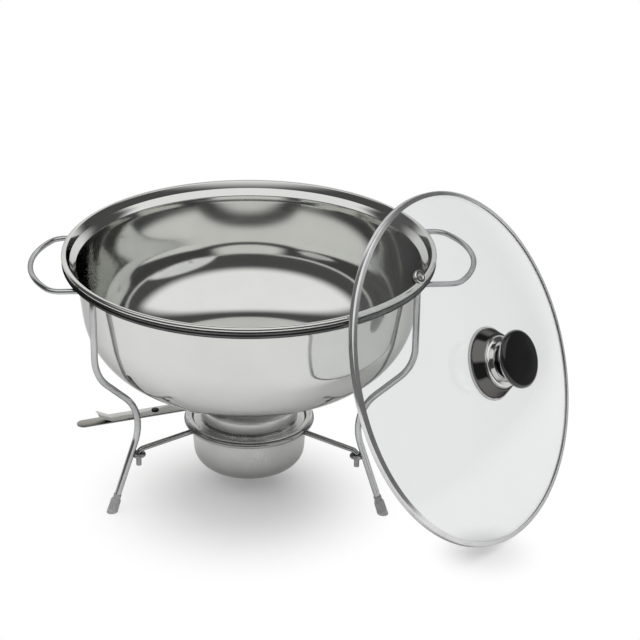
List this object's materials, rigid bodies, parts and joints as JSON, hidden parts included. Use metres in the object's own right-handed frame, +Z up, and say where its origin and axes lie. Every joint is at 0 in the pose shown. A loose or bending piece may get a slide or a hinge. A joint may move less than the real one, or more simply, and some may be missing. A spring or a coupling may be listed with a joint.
{
  "type": "fuel-heated buffet soup kettle",
  "caption": "Polished steel soup bowl in a chromed wire stand with loop handles, over a hung spirit burner with a sliding damper; its domed glass lid with a black knob leans beside it.",
  "frame": {"origin": "on the table under the axis of the bowl, where the floor plane and the bowl's axis meet", "axes": "+X to the right handle, +Y to the rear leg, +Z up"},
  "size_m": [0.4613, 0.3442, 0.2704],
  "materials": {
    "bowl_steel": "mirror polished stainless steel",
    "chromed_wire": "bright chrome plate on round wire",
    "ring_chrome": "dark polished chrome on round wire",
    "holder_chrome": "plain chrome plate on round wire",
    "foot_plastic": "soft translucent grey plastic",
    "burner_steel": "satin drawn steel",
    "strip_steel": "satin strip steel",
    "tongue_steel": "dull heat-darkened strip steel",
    "rivet_black": "blackened steel",
    "fuel_pad": "felted mineral fibre",
    "gauze_steel": "woven wire gauze",
    "lid_glass": "clear tempered glass",
    "band_steel": "polished rolled band",
    "chrome_trim": "bright chrome",
    "knob_black": "moulded black plastic",
    "clear_silicone": "translucent silicone",
    "screw_steel": "plated steel"
  },
  "bodies": {
    "stand": {"stand_ring": "ring_chrome", "burner_ring": "holder_chrome", "handle_left": "chromed_wire", "handle_right": "chromed_wire", "leg_front_left": "chromed_wire", "foot_front_left": "foot_plastic", "eye_front_left": "holder_chrome", "burner_arm_front_left": "holder_chrome", "leg_front_right": "chromed_wire", "foot_front_right": "foot_plastic", "eye_front_right": "holder_chrome", "burner_arm_front_right": "holder_chrome", "leg_rear": "chromed_wire", "foot_rear": "foot_plastic", "eye_rear": "holder_chrome", "burner_arm_rear": "holder_chrome"},
    "bowl": {"bowl": "bowl_steel"},
    "lid": {"lid_glass": "lid_glass", "lid_band": "band_steel", "vent_eyelet": "chrome_trim", "knob_gasket": "clear_silicone", "knob_bell": "chrome_trim", "knob_cap": "knob_black", "knob_trim_ring": "chrome_trim", "knob_screw": "screw_steel", "knob_washer": "screw_steel", "inner_gasket": "clear_silicone"},
    "burner": {"burner_cup": "burner_steel", "burner_cover": "burner_steel", "fuel_pad": "fuel_pad", "pad_gauze": "gauze_steel", "burner_handle": "tongue_steel"},
    "damper": {"damper_plate": "strip_steel", "guide_rivet": "rivet_black"}
  },
  "joints": [
    {"name": "bowl_lift", "type": "slide", "parent": "stand", "child": "bowl", "axis": [0, 0, 1], "range_m": [0, 0.15]},
    {"name": "lid_lift", "type": "slide", "parent": "bowl", "child": "lid", "axis": [0, 0, 1], "range_m": [0, 0.25]},
    {"name": "burner_turn", "type": "hinge", "parent": "stand", "child": "burner", "pos_m": [0, 0, 0.0593], "axis": [0, 0, 1], "range_deg": [-100, 3]},
    {"name": "damper_slide", "type": "slide", "parent": "burner", "child": "damper", "axis": [0.9455, 0.3256, 0], "range_m": [0, 0.04]}
  ]
}
